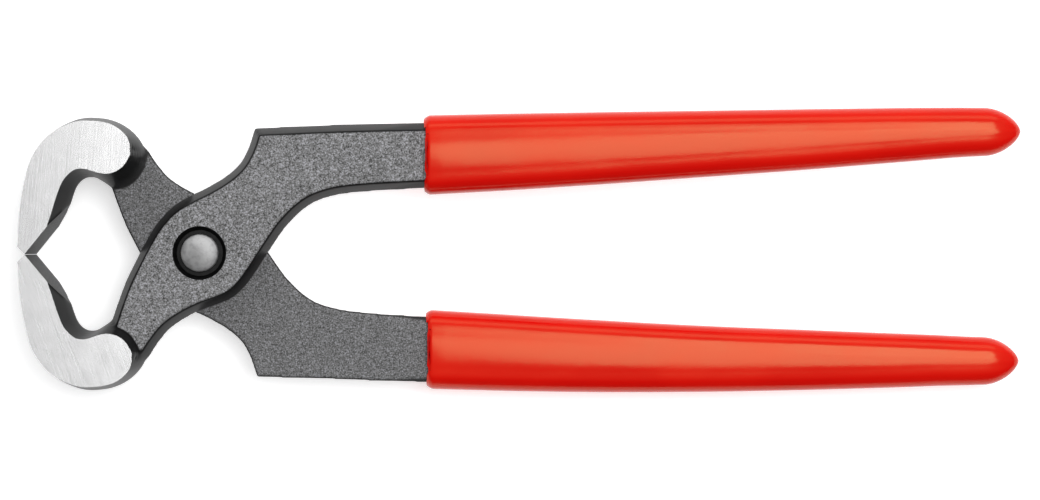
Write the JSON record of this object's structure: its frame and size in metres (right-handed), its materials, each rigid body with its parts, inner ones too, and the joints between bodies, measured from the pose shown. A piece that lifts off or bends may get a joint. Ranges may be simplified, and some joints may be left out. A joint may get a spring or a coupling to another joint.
{
  "type": "tile nippers",
  "caption": "End-cutting tile nippers: lapped forged levers on a rivet, with broad ground jaws, bevelled cutting edges and long dipped handles.",
  "frame": {"origin": "on the rivet's axis, at the plane where the two forged levers lap", "axes": "+X from the rivet towards the handles, so the cutting edges are at -X; +Z along the rivet, out of the front lever; +Y towards the handle of the front lever"},
  "size_m": [0.2264, 0.0639, 0.024],
  "materials": {
    "forged_steel": "shot-blasted and dark phosphated forging with bright ground jaw faces and bevels",
    "rivet_steel": "formed and polished dome",
    "red_dip": "glossy dipped PVC"
  },
  "bodies": {
    "rear_half": {"rear_lever": "forged_steel", "rear_grip": "red_dip", "rivet": "rivet_steel"},
    "front_half": {"front_lever": "forged_steel", "front_grip": "red_dip"}
  },
  "joints": [
    {"name": "pivot_hinge", "type": "hinge", "parent": "rear_half", "child": "front_half", "pos_m": [0, 0, 0], "axis": [0, 0, 1], "range_deg": [0, 50]}
  ]
}
